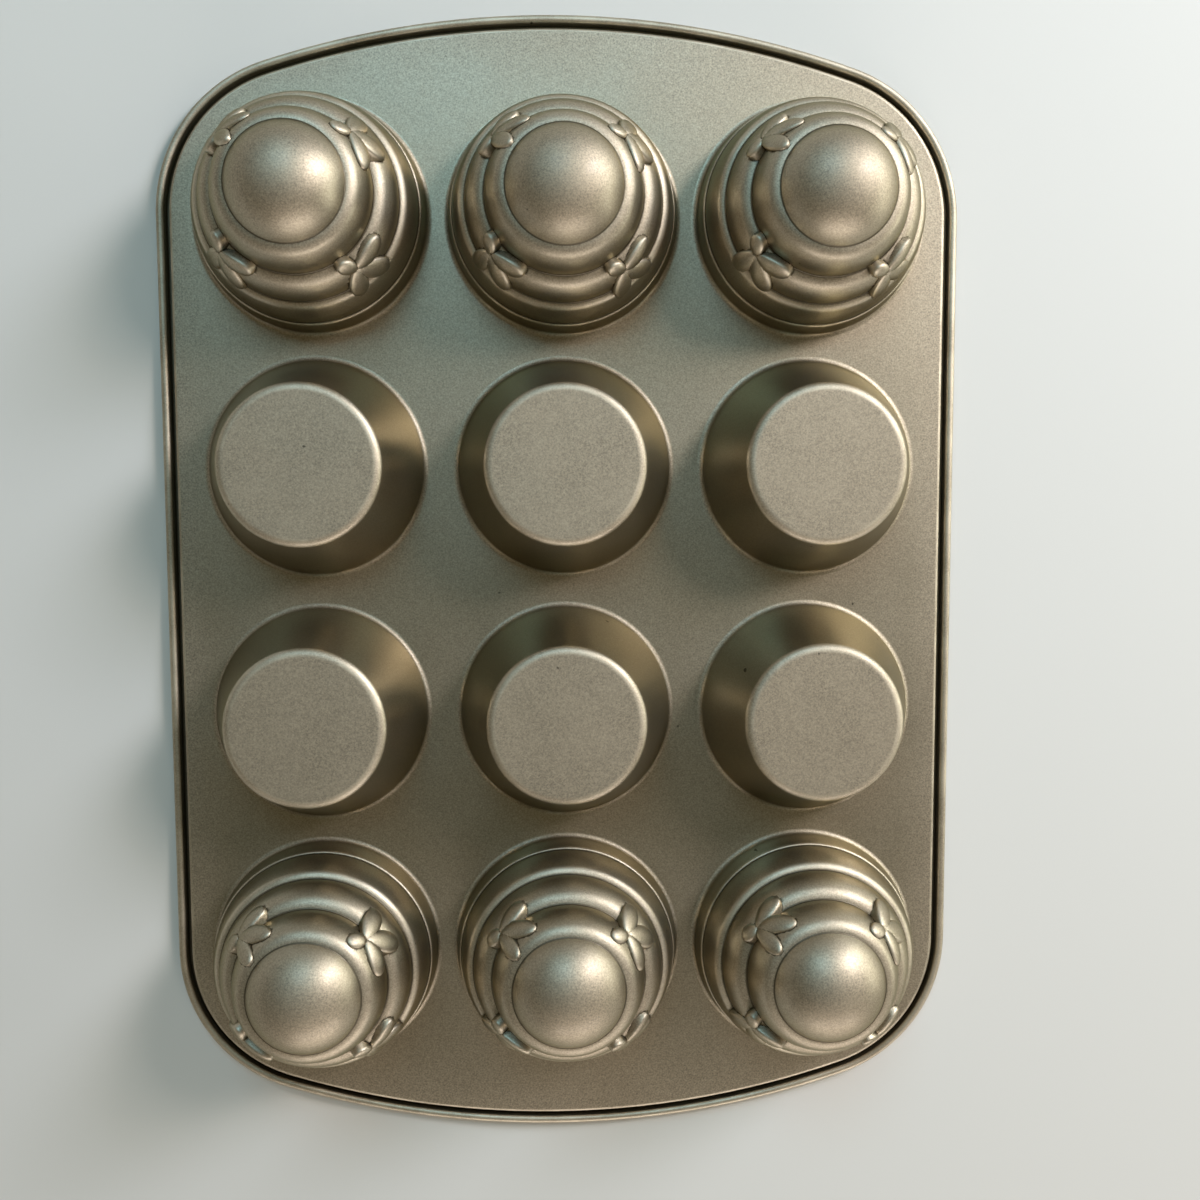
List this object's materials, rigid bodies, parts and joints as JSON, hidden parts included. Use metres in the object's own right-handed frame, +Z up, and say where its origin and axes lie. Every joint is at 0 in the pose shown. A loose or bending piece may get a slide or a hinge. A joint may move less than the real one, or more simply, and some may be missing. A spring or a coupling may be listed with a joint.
{
  "type": "novelty cake pan",
  "caption": "Baking pan lying mouth down: a bow-ended plate with a rolled, wired rim carries rows of coiled beehive cups and plain tapered cups.",
  "frame": {"origin": "on the table under the middle of the pan, which lies mouth down on its rim", "axes": "+Z up, out of the cups' crowns; +Y along the pan's length, towards the top of the picture; +X across its width"},
  "size_m": [0.2564, 0.3636, 0.0575],
  "materials": {
    "bronze_coat": "champagne-bronze metallic non-stick coat, semi-gloss with a fine sparkle",
    "rim_steel": "plain drawn steel wire"
  },
  "bodies": {
    "root": {"frame_plate": "bronze_coat", "rim_wire": "rim_steel", "hive_cup_1": "bronze_coat", "hive_cup_2": "bronze_coat", "hive_cup_3": "bronze_coat", "hive_cup_4": "bronze_coat", "hive_cup_5": "bronze_coat", "hive_cup_6": "bronze_coat", "plain_cup_1": "bronze_coat", "plain_cup_2": "bronze_coat", "plain_cup_3": "bronze_coat", "plain_cup_4": "bronze_coat", "plain_cup_5": "bronze_coat", "plain_cup_6": "bronze_coat"}
  },
  "joints": []
}
